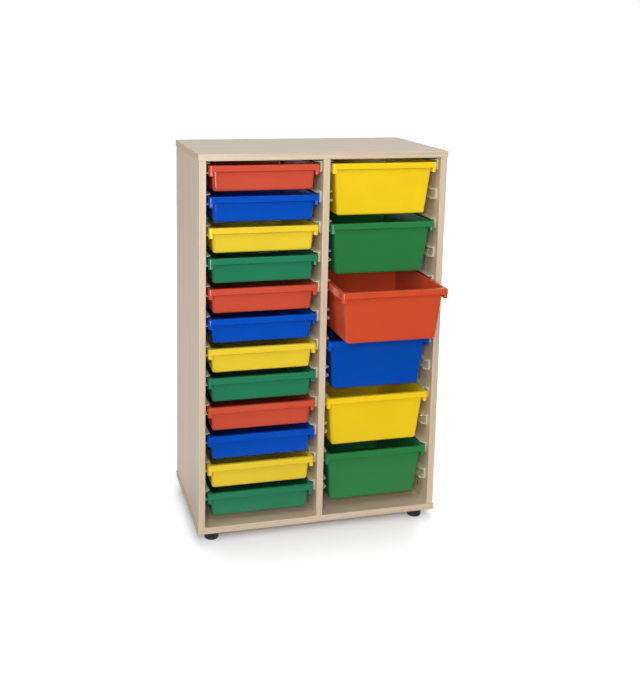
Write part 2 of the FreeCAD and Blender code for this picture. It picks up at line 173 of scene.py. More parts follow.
def strip_finish(name, axis, seed):
    """Beech-print ABS along one axis; end strips, behind STRIP_FRONT, run front to back and are
    painted in a darker, browner shade.
    """
    mat, tree, bsdf, place = new_material(name, Roughness=0.34, IOR=1.47)
    colour, fibre = beech_print(tree, place, axis, seed, STRIP)
    if axis == 0:
        depth = add(tree, "ShaderNodeSeparateXYZ", {"Vector": place}).outputs["Y"]
        is_end = add(tree, "ShaderNodeMath", {0: depth, 1: STRIP_FRONT * MM},
                     operation="GREATER_THAN").outputs[0]
        # the ends get the darker, browner tones: painted shade on the side-facing ends
        shaded_end_colour = beech_print(tree, place, 1, seed + 3, SHADED_END_STRIP)[0]
        colour = add(tree, "ShaderNodeMix", {0: is_end, 6: colour, 7: shaded_end_colour},
                     data_type="RGBA").outputs[2]
    relief = add(tree, "ShaderNodeBump", {"Height": fibre, "Distance": 0.05 * MM,
                                          "Strength": 0.3})
    tree.links.new(colour, bsdf.inputs["Base Color"])
    tree.links.new(relief.outputs["Normal"], bsdf.inputs["Normal"])
    return mat


finish(strip_finish("abs_edge_beech_level", 0, 2.2), "top_panel_edging", "bottom_panel_edging")
finish(strip_finish("abs_edge_beech_upright", 2, 8.4), "upright_edging")


# ---- Back ------------------------------------------------------------------------------------
# One sheet of 3.2 mm hardboard in grooves on all four sides. Its inner face carries the beech
# print; its outer face is bare pressed wood fibre, a brown felt of short threads. They are
# drawn 1.5 mm wide, several times a real thread's width, so that they show.

FELT = [(0.38, "#5C432E"), (0.50, "#6F543B"), (0.62, "#86694B")]
BACK_MIDDLE = 241.7         # y half way through the sheet

mat, tree, bsdf, place = new_material("hardboard_beech_faced", Roughness=0.45, IOR=1.45)
threads = weighted(tree, [(0.6, drawn_noise(tree, place, (1.5, 1.5, 4), 3.0, 3.0)),
                          (0.3, drawn_noise(tree, place, (5, 1.5, 1.5), 3.0, 9.0)),
                          (0.1, drawn_noise(tree, place, (60, 60, 60), 2.0, 4.0))])
felt = add(tree, "ShaderNodeValToRGB", {"Fac": threads}, stops=FELT).outputs["Color"]
depth = add(tree, "ShaderNodeSeparateXYZ", {"Vector": place}).outputs["Y"]
is_outer = add(tree, "ShaderNodeMath", {0: depth, 1: BACK_MIDDLE * MM},
               operation="GREATER_THAN").outputs[0]
colour = add(tree, "ShaderNodeMix", {0: is_outer, 6: beech_print(tree, place, 2, 31.0)[0],
                                     7: felt}, data_type="RGBA")
relief = add(tree, "ShaderNodeBump", {"Height": threads, "Distance": 0.1 * MM,
                                      "Strength": 0.5})
tree.links.new(colour.outputs[2], bsdf.inputs["Base Color"])
tree.links.new(relief.outputs["Normal"], bsdf.inputs["Normal"])
finish(mat, "back_panel")


# ---- Cam joints ------------------------------------------------------------------------------
# Twelve die-cast zinc cams grip steel bolts at the ends of the uprights, with a beech dowel
# beside each. The castings are dull grey and faintly mottled, the bolts bright plated steel,
# like all screws of the unit.

def plated(name, code, dark, roughness):
    """Metal with a mottled plating: 2 mm clouds in its tone, and drawn marks in its gloss."""
    mat, tree, bsdf, place = new_material(name, Metallic=1.0)
    cloud = drawn_noise(tree, place, (2, 2, 2), 3.0, 6.0)
    dulled = add(tree, "ShaderNodeMapRange", {"Value": cloud, "From Min": 0.4,
                                              "From Max": 0.7, "To Max": 0.6}).outputs[0]
    colour = add(tree, "ShaderNodeMix", {0: dulled, 6: code, 7: dark}, data_type="RGBA")
    marks = drawn_noise(tree, place, (0.3, 3, 0.3), 2.0, 2.0)
    gloss = add(tree, "ShaderNodeMapRange",
                {"Value": marks, "From Min": 0.3, "From Max": 0.7,
                 "To Min": roughness - 0.08, "To Max": roughness + 0.12})
    relief = add(tree, "ShaderNodeBump", {"Height": cloud, "Distance": 0.03 * MM,
                                          "Strength": 0.5})
    tree.links.new(colour.outputs[2], bsdf.inputs["Base Color"])
    tree.links.new(gloss.outputs[0], bsdf.inputs["Roughness"])
    tree.links.new(relief.outputs["Normal"], bsdf.inputs["Normal"])
    return mat


finish(plated("zinc_casting", "#B4B2AC", "#8B8983", 0.42), "cam_housings")
bright_steel = plated("zinc_plated_steel", "#C9C8C2", "#A4A39E", 0.28)
finish(bright_steel, "cam_bolts", "foot_screws")

BARE_BEECH = "#C39A6A"      # darker and redder than the boards' print, without a resin

mat, tree, bsdf, place = new_material("beech_dowel_bare", Roughness=0.7, IOR=1.4)
printed, fibre = beech_print(tree, place, 2, 17.0)
colour = add(tree, "ShaderNodeMix", {0: fibre, 6: printed, 7: BARE_BEECH}, data_type="RGBA")
relief = add(tree, "ShaderNodeBump", {"Height": fibre, "Distance": 0.15 * MM})
tree.links.new(colour.outputs[2], bsdf.inputs["Base Color"])
tree.links.new(relief.outputs["Normal"], bsdf.inputs["Normal"])
finish(mat, "dowels")


# ---- Feet ------------------------------------------------------------------------------------
# Four black moulded feet under the bottom board. Glossy polypropylene with a moulded haze in 6
# mm patches and a grain, drawn coarser than a real one, and greyer and duller towards the
# tread.

FOOT_BLACK, TREAD_GREY, TREAD_BAND_HEIGHT = "#1F242E", "#4A4A4C", 7.0

mat, tree, bsdf, place = new_material("polypropylene_black", IOR=1.49)
haze = drawn_noise(tree, place, (6, 6, 6), 4.0, 1.0)
height = add(tree, "ShaderNodeSeparateXYZ", {"Vector": place}).outputs["Z"]
# the lowest 7 mm, towards the tread, is greyer and duller in patches
near_tread = add(tree, "ShaderNodeMapRange",
                 {"Value": height, "From Min": 0.0, "From Max": TREAD_BAND_HEIGHT * MM,
                  "To Min": 0.8, "To Max": 0.0}).outputs[0]
tread_band = add(tree, "ShaderNodeMath", {0: near_tread, 1: haze}, operation="MULTIPLY").outputs[0]
colour = add(tree, "ShaderNodeMix", {0: tread_band, 6: FOOT_BLACK, 7: TREAD_GREY},
             data_type="RGBA")
gloss = weighted(tree, [(0.35, haze), (0.4, tread_band)], 0.12)
relief = add(tree, "ShaderNodeBump",
             {"Height": drawn_noise(tree, place, (0.6, 0.6, 0.6), 2.0, 5.0),
              "Distance": 0.03 * MM, "Strength": 0.5})
tree.links.new(colour.outputs[2], bsdf.inputs["Base Color"])
tree.links.new(gloss, bsdf.inputs["Roughness"])
tree.links.new(relief.outputs["Normal"], bsdf.inputs["Normal"])
finish(mat, "foot_front_left", "foot_front_right", "foot_rear_left", "foot_rear_right")


# ---- Runners ---------------------------------------------------------------------------------
# Twenty-four pairs of cream C-section runners, moulded in polypropylene and screwed to both
# walls of each bay. The lower flange ends in an upturned lip, and both flanges lead in at the
# front. The plastic is even, with soft flow marks drawn out along the moulding.

CREAM = [(0.35, "#C6C2A2"), (0.5, "#CECAAC"), (0.65, "#D4D1B6")]
FRONT = -144.0              # the cabinet's front plane
RUNNER_Y = (FRONT + 21.0, FRONT + 376.0)
REACH, PLATE, LEAD_IN = 17.0, 4.0, 7.0
PLATE_HEIGHTS = (-23.7, 7.3)                        # all heights are measured from the rim
UPPER, LOWER = (4.3, 6.3), (-22.5, -20.3)
LIP_RISE, LIP_THICK, LIP_LEAST = 3.0, 2.0, 0.02
RUNNER_CORNER = 0.7         # rounding of the section's corners
END_DRAW = 0.35             # rounding of the runner's two ends
RIM_HEIGHTS = [1079.9 - 85.0 * level for level in range(12)]
BAY_WALLS = {"left": ((-336.7, 1), (-9.5, -1)), "right": ((9.5, 1), (336.7, -1))}
SHARP = math.radians(38)    # edges that turn by more than this stay sharp


def mesh_piece(name, points, faces, mat):
    """Object at the origin from points in millimetres, shaded smooth up to SHARP."""
    mesh = bpy.data.meshes.new(name)
    mesh.from_pydata((points * MM).tolist(), [], faces)
    mesh.polygons.foreach_set("use_smooth", np.ones(len(mesh.polygons), bool))
    mesh.set_sharp_from_angle(angle=SHARP)
    mesh.materials.append(mat)
    piece = bpy.data.objects.new(name, mesh)
    bpy.context.scene.collection.objects.link(piece)
    even = piece.modifiers.new("even_shading", "WEIGHTED_NORMAL")
    even.keep_sharp = True
    return piece


def strip_faces(rows, columns):
    """Quads between neighbouring rows of a grid whose columns close on themselves."""
    i, j = np.meshgrid(np.arange(rows - 1), np.arange(columns), indexing="ij")
    k = (j + 1) % columns
    quads = [i * columns + j, (i + 1) * columns + j, (i + 1) * columns + k, i * columns + k]
    return np.stack(quads, -1).reshape(-1, 4).tolist()


def joined(tubes):
    """Points and faces of several (rows, columns, 3) tubes, each closed by flat end caps."""
    points, faces, offset = [], [], 0
    for tube in tubes:
        rows, columns = tube.shape[:2]
        first, last = list(range(columns)), list(range((rows - 1) * columns, rows * columns))
        faces += [[offset + v for v in face]
                  for face in strip_faces(rows, columns) + [first, last[::-1]]]
        points.append(tube.reshape(-1, 3))
        offset += rows * columns
    return np.concatenate(points), faces


def soft_corners(corners, radius, steps=4):
    """Each corner P of a polygon becomes the parabola (1-s)^2 A + 2s(1-s) P + s^2 B, where A
    and B lie on its two sides, one radius away or at most 0.45 of the side."""
    ahead, behind = np.roll(corners, -1, 0) - corners, np.roll(corners, 1, 0) - corners
    a, b = [corners + side * np.minimum(radius / np.linalg.norm(side, axis=1), 0.45)[:, None]
            for side in (behind, ahead)]
    s = np.linspace(0, 1, steps)[None, :, None]
    curve = (1 - s) ** 2 * a[:, None] + 2 * s * (1 - s) * corners[:, None] + s ** 2 * b[:, None]
    return curve.reshape(-1, 2)


def runner_section(lip):
    """Corner points (out from the wall, up from the rim) with the lip grown by 0 to 1."""
    foot, head = PLATE_HEIGHTS
    tip, inner = LOWER[1] + LIP_RISE * lip + LIP_LEAST, REACH - LIP_THICK
    return np.array([(0, foot), (PLATE, foot), (PLATE, LOWER[0]), (REACH, LOWER[0]),
                     (REACH, tip), (inner, tip), (inner, LOWER[1]), (PLATE, LOWER[1]),
                     (PLATE, UPPER[0]), (REACH, UPPER[0]), (REACH, UPPER[1]),
                     (PLATE, UPPER[1]), (PLATE, head), (0, head)])


def runner(wall, inward, rim):
    """Section carried along y. At the lead-in the reach is REACH - LEAD_IN + the distance from
    the front end, the lip grows over its last 2 mm, and both ends draw in by a quarter circle
    of radius END_DRAW."""
    near, far = RUNNER_Y
    lead_in = near + np.array([0.0, 0.1, END_DRAW, 2.0, 4.0, 5.0, 5.5, 6.0, 6.5, LEAD_IN])
    y = np.concatenate([lead_in, np.linspace(near + 30, far - 12, 9),
                        [far - END_DRAW, far - 0.1, far]])
    reach = np.minimum(REACH, REACH - LEAD_IN + y - near)
    grown = np.clip((reach - (REACH - LIP_THICK)) / LIP_THICK, 0, 1)
    section = np.stack([soft_corners(runner_section(g), RUNNER_CORNER) for g in grown])
    short = np.maximum(END_DRAW - np.minimum(y - near, far - y), 0)
    draw = END_DRAW - np.sqrt(np.maximum(END_DRAW ** 2 - short ** 2, 0))
    centre = np.array([PLATE / 2, sum(PLATE_HEIGHTS) / 2])
    section += np.sign(centre - section) * np.minimum(draw[:, None, None], END_DRAW)
    across = wall + inward * np.clip(section[..., 0], 0, reach[:, None])
    depth = np.broadcast_to(y[:, None], across.shape)
    tube = np.stack([across, depth, rim + section[..., 1]], -1)
    return tube if inward < 0 else tube[:, ::-1]


mat, tree, bsdf, place = new_material("polypropylene_cream", Roughness=0.38, IOR=1.49)
drift = weighted(tree, [(0.6, drawn_noise(tree, place, (30, 90, 30), 2.0, 2.0)),
                        (0.4, drawn_noise(tree, place, (1.5, 12, 1.5), 2.0, 8.0))])
colour = add(tree, "ShaderNodeValToRGB", {"Fac": drift}, stops=CREAM)
relief = add(tree, "ShaderNodeBump",
             {"Height": drawn_noise(tree, place, (0.8, 6, 0.8), 2.0, 4.0),
              "Distance": 0.04 * MM, "Strength": 0.5})
tree.links.new(colour.outputs["Color"], bsdf.inputs["Base Color"])
tree.links.new(relief.outputs["Normal"], bsdf.inputs["Normal"])
cream_plastic = mat

for bay, walls in BAY_WALLS.items():
    for level, rim in enumerate(RIM_HEIGHTS, 1):
        pair = joined([runner(wall, inward, rim) for wall, inward in walls])
        piece = mesh_piece(f"{bay}_runner_mouldings_{level:02d}", *pair, cream_plastic)
        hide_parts(f"{bay}_bay_runners_{level:02d}")
        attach(piece, "cabinet")


# ---- Runner screws ---------------------------------------------------------------------------
# Two pan-head screws hold each runner. Zinc-plated steel with a pressed cross recess. Each has
# few faces, because there are ninety-six.

SCREW_Y = (FRONT + 58.0, FRONT + 338.0)
SCREW_DROP = 9.0            # the screw's axis below the rim
HEAD_RADIUS, HEAD_HEIGHT, SHANK = 3.4, 1.9, 1.7
POINT_LENGTH, SHANK_LENGTH = 11.8, 9.0
RECESS_ARM, RECESS_NOTCH = 1.75, 0.64


def screw(wall, inward, y, rim):
    """Rings of twelve points about the screw's axis. The recess rings are a cross: of every
    three points, two are at the arm's end and one is in the notch between arms."""
    angle = np.radians(np.arange(12) * 30.0 - 15.0)
    cross = np.tile([RECESS_ARM, RECESS_ARM, RECESS_NOTCH], 4)
    full = np.ones(12)
    rings = [(0.5 * full, -POINT_LENGTH), (SHANK * full, -SHANK_LENGTH), (SHANK * full, 0.0),
             (HEAD_RADIUS * full, 0.0), (HEAD_RADIUS * full, 0.7), (3.0 * full, 1.35),
             (2.3 * full, 1.75), (cross, HEAD_HEIGHT), (0.85 * cross, 0.8)]
    radius = np.stack([ring for ring, _ in rings])
    height = np.array([h for _, h in rings])[:, None] * full
    across = wall + inward * (PLATE + height)
    tube = np.stack([across, y + radius * np.cos(angle),
                     rim - SCREW_DROP + radius * np.sin(angle)], -1)
    return tube[:, ::-1] if inward > 0 else tube


screws = joined([screw(wall, inward, y, rim) for walls in BAY_WALLS.values()
                 for wall, inward in walls for rim in RIM_HEIGHTS for y in SCREW_Y])
piece = mesh_piece("cross_head_screws", *screws, bright_steel)
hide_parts("runner_screws")
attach(piece, "cabinet")


# ---- Trays -----------------------------------------------------------------------------------
# Twelve shallow and six deep trays, each one injection moulding in glossy polypropylene: a
# tapering tub under a turned-down rim, and two ears at the front that stop on the runners.

TRAY_HALF = np.array([156.0, 188.5])        # half width and half length of the rim's outline
WALL = 2.2
BODY_INSET, BODY_CORNER, BASE_EDGE = 10.4, 10.0, 7.0
RIM_CORNER, RIM_EDGE, FLARE = 7.0, 1.8, 1.0
TURN_IN, TURN_UNDER, ROOT = 1.2, 1.8, 1.4   # roundings: inside wall to rim, under the rim, root
LIP_DROP, SKIRT = 16.5, 20.0
SKIRT_START, SKIRT_RETURN = 16.5, 4.7       # the deep side skirts begin and turn the corners
SKIRT_HEAD = 4.0            # depth at which the skirt's inside turns under the rim
BOW = 0.5                   # the walls' bow inwards
FLOOR_CORNER = 3.0          # corner radius of the rows within the floor
BASE_RECESS = ((8.0, 0.0), (8.6, 0.5), (9.4, 0.6), (60.0, 0.6))     # inset and lift
KINDS = {"shallow": (72.5, 16.0), "deep": (150.0, 24.2)}        # height, inset of the base


def outline_columns():
    """Columns round the rim, anticlockwise from above: for each a place in the inner
    rectangle, from -1 to 1 on both axes, and an outward direction. Four runs, each followed by
    an arc, with close columns where the skirt changes depth."""
    front = np.linspace(-0.95, 0.95, 19)
    change = np.array([10, 13, 16.2, 16.8, 20, 26])
    start = (change - TRAY_HALF[1]) / (TRAY_HALF[1] - RIM_CORNER)
    side = np.concatenate([start, np.linspace(-0.85, 0.9, 17), [0.97]])
    arc = np.radians([0, 10, 19, 22.5, 34, 45, 56, 67.5, 71, 80, 90])
    place, outward = [], []
    for turn, run in enumerate((front, side, -front[::-1], -side[::-1])):
        c, s = [round(f(turn * math.pi / 2)) for f in (math.cos, math.sin)]
        spin = np.array([[c, s], [-s, c]])
        place += [np.stack([run, -np.ones_like(run)], -1) @ spin,
                  np.tile([1.0, -1.0], (len(arc), 1)) @ spin]
        outward += [np.tile([0.0, -1.0], (len(run), 1)) @ spin,
                    np.stack([np.sin(arc), -np.cos(arc)], -1) @ spin]
    return np.concatenate(place), np.concatenate(outward)


PLACE, OUTWARD = outline_columns()


def ring(inset, radius, z):
    """One closed row: place x (half size - inset - radius) + radius x outward."""
    inset, radius, z = [np.broadcast_to(np.asarray(v, float), len(PLACE))
                        for v in (inset, radius, z)]
    xy = PLACE * (TRAY_HALF - (inset + radius)[:, None]) + radius[:, None] * OUTWARD
    return np.stack([xy[:, 0], xy[:, 1] + TRAY_HALF[1], z], -1)


def tray(height, base_inset):
    """The whole moulding but its ears as one closed grid, from the floor's inside up the wall,
    over the rim, down and up its skirt, and down the outside to the base. The edges of rim and
    base are quarter circles, and the skirt's lower edge is a half circle. The walls bow in by
    up to BOW between corners, base and rim."""
    outline = ring(0.0, RIM_CORNER, 0.0)
    x, y = np.abs(outline[:, 0]), outline[:, 1]
    at_rear = (y > 2 * TRAY_HALF[1] - RIM_CORNER) & (x < TRAY_HALF[0] - SKIRT_RETURN + 0.1)
    drop = np.where((y < SKIRT_START) | at_rear, LIP_DROP, SKIRT)
    taper = (base_inset - BODY_INSET) / (height - WALL / 2)
    free = ((1 - PLACE[:, 0] ** 2) * (np.abs(OUTWARD[:, 1]) == 1)
            + (1 - PLACE[:, 1] ** 2) * (np.abs(OUTWARD[:, 0]) == 1))
    quarter, half = [[(math.sin(a), math.cos(a)) for a in np.radians(np.linspace(0, end, n))]
                     for end, n in ((90, 6), (180, 9))]

    def lean(z):
        """Inset of the skirt: FLARE at the rim, none at its lower edge."""
        return FLARE * (SKIRT + z) / SKIRT

    def body(z):
        """Inset of the tub's outside: its taper and its bow."""
        rise = np.clip(-z / height, 0, 1)
        return BODY_INSET + taper * (-WALL / 2 - z) + BOW * free * np.sin(math.pi * rise)

    # the floor's inside, its edge, the wall's inside and the turn onto the rim
    floor, edge = -height + WALL, BASE_EDGE - WALL
    foot_in = body(floor + edge) + WALL
    rows = [ring(foot_in + inset, FLOOR_CORNER, floor) for inset in (60.0, 20.0, 8.0)]
    for s, c in quarter:
        inset = edge * (1 - s)
        rows.append(ring(foot_in + inset, BODY_CORNER - WALL - inset, floor + edge * (1 - c)))
    for z in np.linspace(floor + edge, -TURN_IN, 12)[1:]:
        rows.append(ring(body(z) + WALL, BODY_CORNER - WALL, z))
    for s, c in quarter[1:]:
        out = TURN_IN * (1 - c)
        rows.append(ring(body(-TURN_IN) + WALL - out, BODY_CORNER - WALL + out,
                         -TURN_IN + TURN_IN * s))

    # the rim, the skirt's outside, its lower edge, its inside and the turn under the rim
    rows += [ring(9.0, 7.0, 0.0), ring(4.4, 5.5, 0.0)]
    for s, c in quarter:
        inset, z = RIM_EDGE * (1 - s), -RIM_EDGE * (1 - c)
        rows.append(ring(lean(z) + inset, RIM_CORNER - inset, z))
    rows += [ring(lean(z), RIM_CORNER, z) for z in (-6.0, -10.0, -14.0)]
    for s, c in half:
        inset, z = WALL / 2 * (1 - c), -drop + WALL / 2 * (1 - s)
        rows.append(ring(lean(z) + inset, RIM_CORNER - inset, z))
    rows += [ring(lean(z) + WALL, RIM_CORNER - WALL, z) for z in (-14.0, -8.0, -SKIRT_HEAD)]
    for s, c in quarter[1:]:
        out = TURN_UNDER * (1 - c)
        rows.append(ring(lean(-SKIRT_HEAD) + WALL + out, RIM_CORNER - WALL + out * 0.5,
                         -SKIRT_HEAD + TURN_UNDER * s))
    rows.append(ring(7.0, 7.0, -WALL))

    # the root under the rim, the wall's outside, the base's edge and its shallow recess
    for s, c in quarter:
        out = ROOT * (1 - s)
        rows.append(ring(body(-WALL - ROOT) - out, BODY_CORNER + out, -WALL - ROOT * (1 - c)))
    foot_out = -height + BASE_EDGE
    for z in np.linspace(-WALL - ROOT, foot_out, 14)[1:]:
        rows.append(ring(body(z), BODY_CORNER, z))
    for s, c in quarter[1:]:
        inset = BASE_EDGE * (1 - c)
        rows.append(ring(body(foot_out) + inset, BODY_CORNER - inset, foot_out - BASE_EDGE * s))
    base = body(foot_out) + BASE_EDGE
    rows += [ring(base + inset, FLOOR_CORNER, -height + lift) for inset, lift in BASE_RECESS]
    return np.stack(rows)


EAR_SIDES = (142.8, 154.8)                  # across, from the rib's face to the wing's
EAR_FRONT, EAR_RIB, EAR_WING = 2.4, 24.0, 15.0      # front face, and the ends of rib and wing
EAR_CORNERS = (1.0, 6.6)                    # rounding beside the rib and beside the wing
EAR_TOP, RIB_TOP, EAR_DROP = -2.0, -9.5, 29.0       # the rib ends lower inside the tub's wall
EAR_EDGE = 0.9                              # rounding of the foot
CHANNEL, CHANNEL_HALF, CHANNEL_DEPTH = 145.3, 1.5, 0.6      # channel down the front face
CHANNEL_FADE = 3.2


def ear(side):
    """Wall that runs in plan from the rib's rear end round the front to the wing's end; each
    row is its closed section at one place. A depth t into the wall moves straight runs in by
    t, and turns a corner of radius R into one of R - t, at least 0.3. The front face's places
    are shared out between its two corners. A cosine channel runs down it and fades out above
    its foot."""
    turn_in, turn_out = [np.radians(np.linspace(0, 90, n)) for n in (4, 7)]
    dx = np.concatenate([-np.ones(4), -np.cos(turn_in), np.zeros(11),
                         np.sin(turn_out), np.ones(2)])
    dy = np.concatenate([np.zeros(4), -np.sin(turn_in), -np.ones(11),
                         -np.cos(turn_out), np.zeros(2)])
    share = np.concatenate([np.zeros(8), np.linspace(0.06, 0.94, 11), np.ones(9)])[:, None]
    straight = np.concatenate([[EAR_RIB, 17.0, 15.5, 8.0], np.full(22, np.nan),
                               [10.5, EAR_WING]])[:, None]
    outer = [(0.0, EAR_TOP), (0.0, -20.0), (0.0, -25.0), (0.0, -26.5), (0.0, -27.6),
             (0.0, EAR_EDGE - EAR_DROP), (0.26, 0.26 - EAR_DROP), (EAR_EDGE, -EAR_DROP)]
    inner = [(1.9, -EAR_DROP), (WALL, 0.3 - EAR_DROP), (WALL, EAR_TOP)]
    t, z = np.array(outer + inner).T
    r_in, r_out = [np.maximum(radius - t, 0.3) for radius in EAR_CORNERS]
    begin, end = EAR_SIDES[0] + t + r_in, EAR_SIDES[1] - t - r_out
    r = np.where(share < 0.5, r_in, r_out)
    x = begin + (end - begin) * share + r * dx[:, None]
    y = EAR_FRONT + t + r + r * dy[:, None]
    y = np.where(np.isnan(straight), y, straight)
    across = np.clip((x - CHANNEL) / CHANNEL_HALF, -1, 1)
    fade = np.clip((z + EAR_DROP - EAR_EDGE) / CHANNEL_FADE, 0, 1) * (t < 1.0)
    z = np.where((z == EAR_TOP) & (straight > 16.0), RIB_TOP, z)
    y = y + CHANNEL_DEPTH * (0.5 + 0.5 * np.cos(math.pi * across)) * fade * (dy[:, None] == -1)
    wall = np.stack([side * x, y, np.broadcast_to(z, x.shape)], -1)
    return wall if side > 0 else wall[:, ::-1]


def tray_plastic(name, code):
    """Glossy moulded polypropylene, even in colour: it drifts by two hundredths over 90 mm.
    Its reflections are softened by a 45 mm waviness and a grainy skin, drawn at 0.9 mm where
    the real one is finer, so that it shows."""
    mat, tree, bsdf, place = new_material(name, IOR=1.49)
    drift = drawn_noise(tree, place, (90, 90, 90), 1.0, 3.0)
    shade = np.array(linear(code)[:3])
    stops = [(spot, (*np.clip(shade * gain, 0, 1).tolist(), 1.0))
             for spot, gain in ((0.3, 0.98), (0.7, 1.02))]
    colour = add(tree, "ShaderNodeValToRGB", {"Fac": drift}, stops=stops)
    gloss = add(tree, "ShaderNodeMapRange", {"Value": drift, "From Min": 0.3, "From Max": 0.7,
                                             "To Min": 0.13, "To Max": 0.16})
    skin = weighted(tree, [(0.15, drawn_noise(tree, place, (0.9, 0.9, 0.9), 2.0, 5.0)),
                           (1.0, drawn_noise(tree, place, (45, 45, 45), 1.0, 21.0))])
    relief = add(tree, "ShaderNodeBump", {"Height": skin, "Distance": 0.04 * MM,
                                          "Strength": 0.5})
    tree.links.new(colour.outputs["Color"], bsdf.inputs["Base Color"])
    tree.links.new(gloss.outputs[0], bsdf.inputs["Roughness"])
    tree.links.new(relief.outputs["Normal"], bsdf.inputs["Normal"])
    return mat


SHALLOW = {"red": "#D3553E", "blue": "#0151C9", "yellow": "#F1D63A", "green": "#27845F"}
DEEP = {"yellow": "#F8D821", "green": "#2D854B", "red": "#D35131", "blue": "#0151C5"}
TRAY_HOME, DRAWN = FRONT + 5.0, 112.0       # y of a tray's front at home; third deep tray drawn
BAY_CENTRE = 173.1
ROWS = {"shallow": (-BAY_CENTRE, 1, ["red", "blue", "yellow", "green"] * 3, SHALLOW),
        "deep": (BAY_CENTRE, 2, ["yellow", "green", "red", "blue", "yellow", "green"], DEEP)}

for kind, (centre, every, colours, codes) in ROWS.items():
    shape, faces = joined([tray(*KINDS[kind]), ear(1), ear(-1)])
    plastics = {colour: tray_plastic(f"polypropylene_{kind}_{colour}", code)
                for colour, code in codes.items()}
    for number, colour in enumerate(colours, 1):
        body = f"{kind}_tray_{number:02d}"
        home = TRAY_HOME - (DRAWN if body == "deep_tray_03" else 0.0)
        points = shape + (centre, home, RIM_HEIGHTS[(number - 1) * every])
        piece = mesh_piece(f"{body}_moulding", points, faces, plastics[colour])
        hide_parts(body)
        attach(piece, body)


# ---- Floor -----------------------------------------------------------------------------------
# A white studio floor without a horizon. It throws back a warmer light than it shows, and is
# dark in reflections in front of the unit. A glowing lift keeps it white far off and paints the
# shade near the unit: weak where the ambient occlusion finds little open air near, full where
# the floor is open, cut off by place beside and before the unit, with a painted strip of light
# under the front edge. Numbers here are in metres.

THROWN, SHOWN = "#CCC0AF", "#ECF0F7"        # as a light for the unit, and as the camera has it
REFLECTED, REFLECTED_FRONT = "#B0B0B0", "#0A0A0A"
FRONT_FADE = {"From Min": -0.6, "From Max": 0.4}                # y, from in front to behind
AIR_REACH, AIR_FROM = 0.3, (0.42, 0.75, 0.50)       # how far and which way open air is felt
# The painted shade is cut off by place: past these sides and the footprint the lift is full.
SHADE_SIDES = ((0.25, 0.355), (-0.29, -0.40))       # x over which the shade ends, each side
FOOTPRINT_SIDES = ((0.355, 0.375), (-0.355, -0.375))   # x over which the footprint ends
FOOTPRINT_FRONT = (-0.15, -0.20)                        # and y
# painted shade: the glow is weaker where the ambient occlusion finds little open air
NEAR_LIFT = {"From Min": 0.2, "To Min": 0.02, "To Max": 0.53}       # by the open air
# a painted strip of light on the floor under the unit's front edge
PAINTED_EDGE_LIGHT = {"From Min": -0.088, "From Max": -0.122, "To Max": 0.25}    # under the front edge
FAR_LIFT = {"From Min": 0.8, "From Max": 3.76, "To Max": 0.46}      # by the distance
REFLECTED_LIFT = 0.62
FLOOR_HALF = 40.0


def seen_by(tree, *rays):
    """1 for the named kinds of ray, 0 for the rest: the largest of their outputs."""
    path, total = add(tree, "ShaderNodeLightPath"), 0.0
    for ray in rays:
        total = add(tree, "ShaderNodeMath", {0: path.outputs[ray], 1: total},
                    operation="MAXIMUM").outputs[0]
    return total


def past(tree, limits):
    """0 within all limits and 1 past any: the sum, held to 1, of a ramp from 0 to 1 for each
    (coordinate, start, end)."""
    total = 0.0
    for coordinate, start, end in limits:
        ramp = add(tree, "ShaderNodeMapRange", {"Value": coordinate, "From Min": start,
                                                "From Max": end})
        total = add(tree, "ShaderNodeMath", {0: ramp.outputs[0], 1: total},
                    operation="ADD").outputs[0]
    return add(tree, "ShaderNodeMath", {0: total, 1: 1.0}, operation="MINIMUM").outputs[0]


mesh = bpy.data.meshes.new("studio_floor")
mesh.from_pydata([(FLOOR_HALF * x, FLOOR_HALF * y, 0)
                  for x, y in ((-1, -1), (1, -1), (1, 1), (-1, 1))], [], [(0, 1, 2, 3)])
floor = bpy.data.objects.new("studio_floor", mesh)
bpy.context.scene.collection.objects.link(floor)
mat = bpy.data.materials.new("studio_white")
mat.use_nodes = True
tree = mat.node_tree
tree.nodes.clear()
spot = add(tree, "ShaderNodeTexCoord").outputs["Object"]
x, y, _ = add(tree, "ShaderNodeSeparateXYZ", {"Vector": spot}).outputs
mirrored = seen_by(tree, "Is Glossy Ray")
seen = seen_by(tree, "Is Camera Ray", "Is Transmission Ray")

behind = add(tree, "ShaderNodeMapRange", {"Value": y, **FRONT_FADE}).outputs[0]
in_front = add(tree, "ShaderNodeMath", {0: 1.0, 1: behind}, operation="SUBTRACT").outputs[0]
mirrored_front = add(tree, "ShaderNodeMath", {0: mirrored, 1: in_front},
                     operation="MULTIPLY").outputs[0]
tone = THROWN
for share, colour in ((seen, SHOWN), (mirrored, REFLECTED), (mirrored_front, REFLECTED_FRONT)):
    tone = add(tree, "ShaderNodeMix", {0: share, 6: tone, 7: colour},
               data_type="RGBA").outputs[2]
matt = add(tree, "ShaderNodeBsdfDiffuse", {"Color": tone})

# The shade near the unit is painted: the lift follows the ambient occlusion, turned to the
# back.
open_air = add(tree, "ShaderNodeAmbientOcclusion",
               {"Distance": AIR_REACH, "Normal": AIR_FROM}, samples=16).outputs["AO"]
# painted light: outside the footprint and beyond the shade's sides the lift is full regardless
# of occlusion
outside = past(tree, [(x, *limit) for limit in FOOTPRINT_SIDES] + [(y, *FOOTPRINT_FRONT)])
beside = past(tree, [(x, *limit) for limit in SHADE_SIDES])
painted_clearing = add(tree, "ShaderNodeMath", {0: outside, 1: beside}, operation="MULTIPLY").outputs[0]
open_air = add(tree, "ShaderNodeMapRange", {"Value": painted_clearing, "To Min": open_air,
                                            "To Max": 1.0}).outputs[0]
painted_near_lift = add(tree, "ShaderNodeMapRange", {"Value": open_air, **NEAR_LIFT}).outputs[0]
